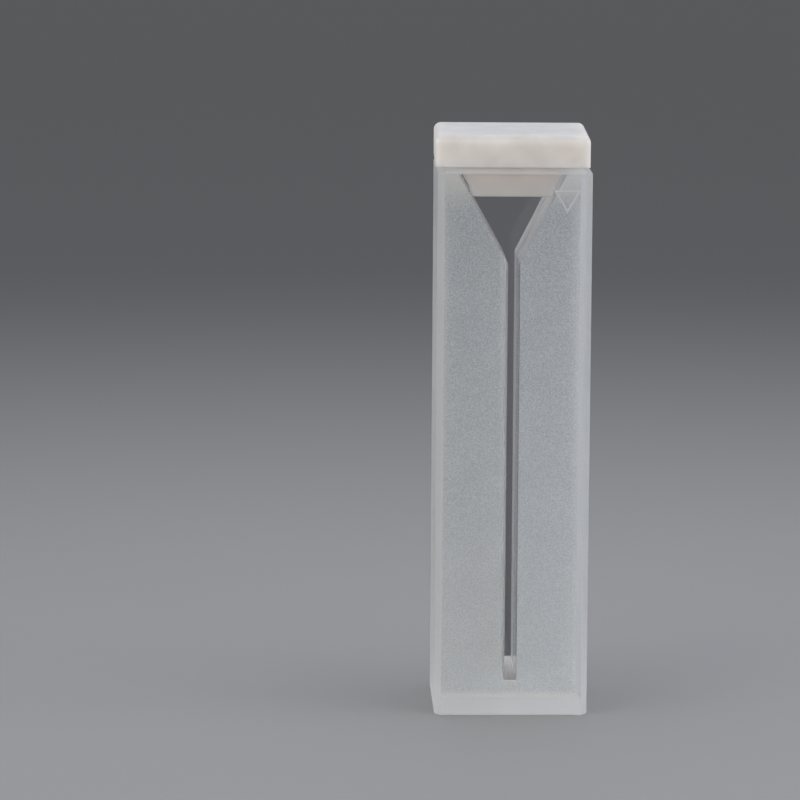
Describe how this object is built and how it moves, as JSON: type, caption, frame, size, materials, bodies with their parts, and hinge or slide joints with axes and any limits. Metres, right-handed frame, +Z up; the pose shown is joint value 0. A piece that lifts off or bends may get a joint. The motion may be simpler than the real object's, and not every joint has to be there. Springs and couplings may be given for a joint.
{
  "type": "cuvette",
  "caption": "Square quartz semi-micro cuvette with a narrow sample slot, a V-shaped funnel above it, polished windows front and rear, and a loose stopper lid.",
  "frame": {"origin": "middle of the cell's base, on the surface that it stands on", "axes": "+Z up the cell to its lid, Y along the light path with the front window facing -Y, X across the windows"},
  "size_m": [0.0128, 0.0128, 0.0476],
  "materials": {
    "quartz_frame": "fused quartz with its outer faces ground to an even frost",
    "quartz_window": "fused quartz, optically polished, with ground edges",
    "ptfe": "white PTFE, machined and lightly waxy"
  },
  "bodies": {
    "root": {"cell_frame": "quartz_frame", "front_window": "quartz_window", "rear_window": "quartz_window", "lid": "ptfe"}
  },
  "joints": []
}
